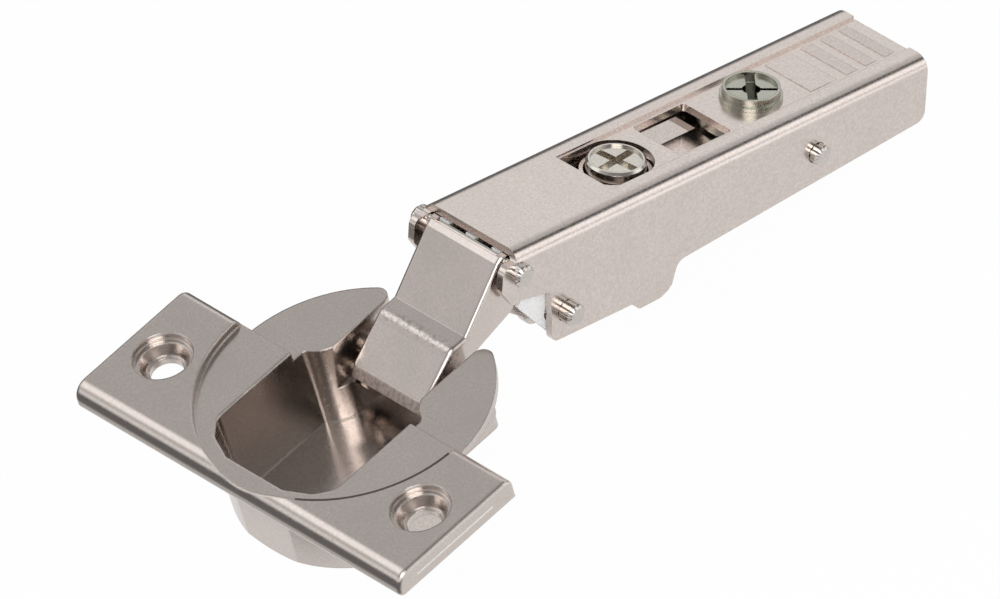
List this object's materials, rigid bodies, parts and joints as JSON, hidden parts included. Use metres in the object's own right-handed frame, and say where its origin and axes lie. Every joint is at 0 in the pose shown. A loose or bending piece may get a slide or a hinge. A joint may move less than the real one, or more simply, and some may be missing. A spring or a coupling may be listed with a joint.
{
  "type": "concealed cup hinge",
  "caption": "Clip-on concealed cabinet hinge with a screw-on cup, twin links, channel arm, side and depth adjusting screws and a release lever.",
  "frame": {"origin": "on the cup's axis, in the plane of the door's face where the fixing plate rests", "axes": "+Z out of the door, +X from the cup towards the arm, +Y along the fixing plate"},
  "size_m": [0.1102, 0.0568, 0.0321],
  "materials": {
    "cast_nickel": "satin nickel plate on a zinc casting",
    "sheet_nickel": "satin nickel plate on steel sheet",
    "pin_nickel": "nickel plate on turned steel",
    "screw_nickel": "bright nickel plate",
    "spring_wire": "drawn spring wire",
    "white_nylon": "moulded white nylon"
  },
  "bodies": {
    "cup": {"hinge_cup": "cast_nickel", "cup_pin_outer": "pin_nickel", "cup_pin_inner": "pin_nickel"},
    "main_link": {"main_link": "sheet_nickel"},
    "inner_link": {"inner_link": "sheet_nickel"},
    "arm": {"arm_channel": "sheet_nickel", "upper_arm_pin": "pin_nickel", "lower_arm_pin": "pin_nickel", "side_screw_bar": "sheet_nickel", "closing_spring_left": "spring_wire", "closing_spring_right": "spring_wire"},
    "slider": {"spring_slider": "white_nylon"},
    "guide": {"rear_guide_pin": "pin_nickel"},
    "side_screw": {"side_adjusting_screw": "screw_nickel"},
    "depth_cam": {"depth_adjusting_cam": "screw_nickel"},
    "carriage": {"carriage": "sheet_nickel", "clip_lever_pin": "pin_nickel", "clip_lever_spring": "spring_wire"},
    "lever": {"clip_lever": "sheet_nickel"}
  },
  "joints": [
    {"name": "main_fold", "type": "hinge", "parent": "cup", "child": "main_link", "pos_m": [0.00822, 0, -0.00603], "axis": [0, -1, 0], "range_deg": [0, 113.83]},
    {"name": "arm_fold", "type": "hinge", "parent": "main_link", "child": "arm", "pos_m": [0.02347, 0, 0.00715], "axis": [0, -1, 0], "range_deg": [-4, 0.5]},
    {"name": "inner_fold", "type": "hinge", "parent": "cup", "child": "inner_link", "pos_m": [0.01007, 0, -0.00341], "axis": [0, -1, 0], "range_deg": [0, 131]},
    {"name": "slider_travel", "type": "slide", "parent": "arm", "child": "slider", "axis": [0.9397, 0, -0.342], "range_m": [0, 0.0012], "stiffness_N_per_m": 4000, "deforming": ["closing_spring_left", "closing_spring_right"]},
    {"name": "side_screw_turn", "type": "hinge", "parent": "guide", "child": "side_screw", "pos_m": [0.04555, 0, -0.00381], "axis": [0.342, 0, 0.9397], "range_deg": [-543, 543]},
    {"name": "side_tilt", "type": "hinge", "parent": "arm", "child": "guide", "pos_m": [0.07069, 0, -0.01338], "axis": [0, -1, 0], "range_deg": [-2.15, 2.15]},
    {"name": "depth_cam_turn", "type": "hinge", "parent": "arm", "child": "depth_cam", "pos_m": [0.06906, 0, -0.00704], "axis": [0.342, 0, 0.9397], "range_deg": [-145, 217]},
    {"name": "depth_slide", "type": "slide", "parent": "guide", "child": "carriage", "axis": [0.9397, 0, -0.342], "range_m": [-0.002, 0.003]},
    {"name": "clip_release", "type": "hinge", "parent": "carriage", "child": "lever", "pos_m": [0.07599, 0, -0.01606], "axis": [0, -1, 0], "range_deg": [0, 10], "stiffness_Nm_per_rad": 0.05}
  ],
  "couplings": [
    {"joint": "arm_fold", "follows": "main_fold", "ratio": -0.033613},
    {"joint": "inner_fold", "follows": "main_fold", "ratio": 1.147},
    {"joint": "side_screw_turn", "follows": "side_tilt", "ratio": 251.16},
    {"joint": "depth_cam_turn", "follows": "depth_slide", "rad_per_m": 1256.6}
  ]
}
